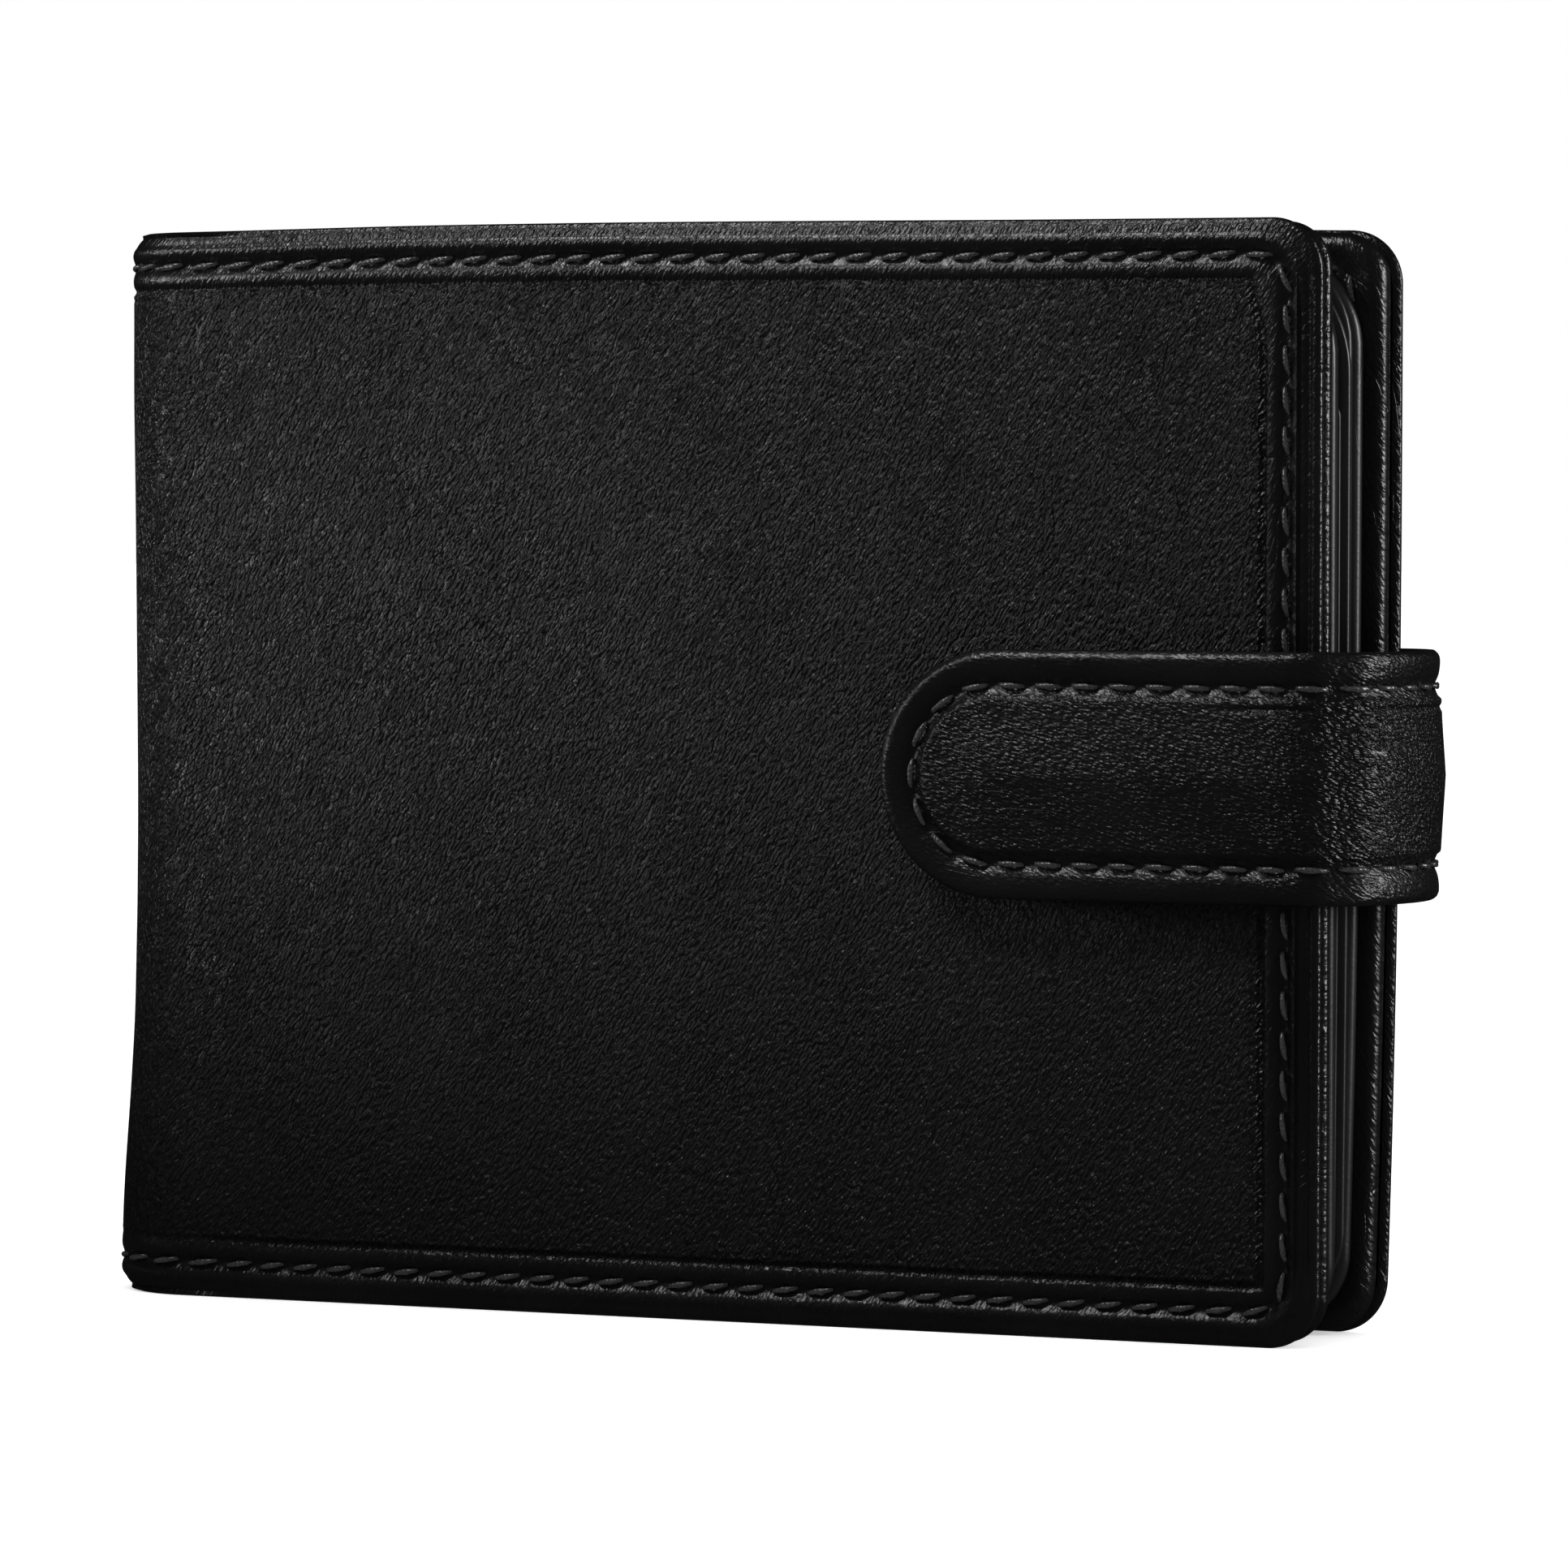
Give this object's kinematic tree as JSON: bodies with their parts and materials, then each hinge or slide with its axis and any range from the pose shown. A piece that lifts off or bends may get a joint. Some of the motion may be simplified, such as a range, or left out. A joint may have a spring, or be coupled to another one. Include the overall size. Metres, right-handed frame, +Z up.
{
  "type": "bifold wallet",
  "caption": "Upright black leather bifold wallet with centre leaf, card pockets, note compartment and a strap that closes over the open edge with a press stud.",
  "frame": {"origin": "bottom centre of the closed wallet as it stands on its long edge", "axes": "+X from the spine towards the open edge that the strap closes, -Y out of the front cover that carries the strap's flap, +Z up along the spine"},
  "size_m": [0.1196, 0.0242, 0.093],
  "materials": {
    "cover_leather": "semi-gloss black cowhide with a fine pebble grain",
    "tab_leather": "semi-gloss black cowhide with a clear pebble grain",
    "inner_leather": "satin black leather with turned edges",
    "lining_fabric": "thin black woven lining",
    "thread": "black bonded twisted thread, slightly glossy",
    "board": "matt fibre stiffener, hidden between the layers",
    "snap_metal": "nickel-plated pressed steel",
    "window_film": "clear flexible film"
  },
  "bodies": {
    "rear_half": {"rear_cover": "cover_leather", "rear_stiffener": "board", "rear_note_lining": "lining_fabric", "rear_inner_panel": "inner_leather", "rear_cover_thread": "thread", "rear_card_pocket_1": "inner_leather", "rear_card_pocket_2": "inner_leather", "rear_card_pocket_3": "inner_leather", "leaf_hinge_strip": "inner_leather", "tab_base_leather": "tab_leather", "tab_base_filler": "board", "tab_base_lining": "inner_leather", "tab_base_thread": "thread"},
    "spine": {"spine_cover": "cover_leather", "spine_note_lining": "lining_fabric", "spine_gusset": "inner_leather", "spine_thread_bottom": "thread", "spine_thread_top": "thread"},
    "front_half": {"front_cover": "cover_leather", "front_stiffener": "board", "front_note_lining": "lining_fabric", "front_inner_panel": "inner_leather", "front_cover_thread": "thread", "front_card_pocket_1": "inner_leather", "front_card_pocket_2": "inner_leather", "front_card_pocket_3": "inner_leather", "snap_stud": "snap_metal", "snap_post": "snap_metal"},
    "centre_leaf": {"leaf_panel": "inner_leather", "leaf_card_pocket_1": "inner_leather", "leaf_card_pocket_2": "inner_leather", "leaf_window_film": "window_film", "leaf_window_frame": "inner_leather", "leaf_thread": "thread"},
    "tab_bridge": {"tab_bridge_leather": "tab_leather", "tab_bridge_lining": "inner_leather", "tab_bridge_thread_bottom": "thread", "tab_bridge_thread_top": "thread"},
    "tab_flap": {"tab_flap_leather": "tab_leather", "tab_flap_filler": "board", "tab_flap_lining": "inner_leather", "tab_flap_thread": "thread", "snap_socket": "snap_metal", "snap_cap": "snap_metal"}
  },
  "joints": [
    {"name": "spine_fold", "type": "hinge", "parent": "rear_half", "child": "spine", "pos_m": [-0.05727, 0.00617, 0.0465], "axis": [0, 0, -1], "range_deg": [0, 90]},
    {"name": "front_fold", "type": "hinge", "parent": "spine", "child": "front_half", "pos_m": [-0.05727, -0.00617, 0.0465], "axis": [0, 0, -1], "range_deg": [0, 90]},
    {"name": "leaf_turn", "type": "hinge", "parent": "rear_half", "child": "centre_leaf", "pos_m": [-0.0503, 0, 0.0465], "axis": [0, 0, -1], "range_deg": [0, 162]},
    {"name": "tab_swing", "type": "hinge", "parent": "rear_half", "child": "tab_bridge", "pos_m": [0.05844, 0.01064, 0.0465], "axis": [0, 0, 1], "range_deg": [0, 90]},
    {"name": "tab_lift", "type": "hinge", "parent": "tab_bridge", "child": "tab_flap", "pos_m": [0.05844, -0.01064, 0.0465], "axis": [0, 0, 1], "range_deg": [0, 90]}
  ],
  "couplings": [
    {"joint": "front_fold", "follows": "spine_fold", "ratio": 1},
    {"joint": "leaf_turn", "follows": "spine_fold", "ratio": 1.8}
  ]
}
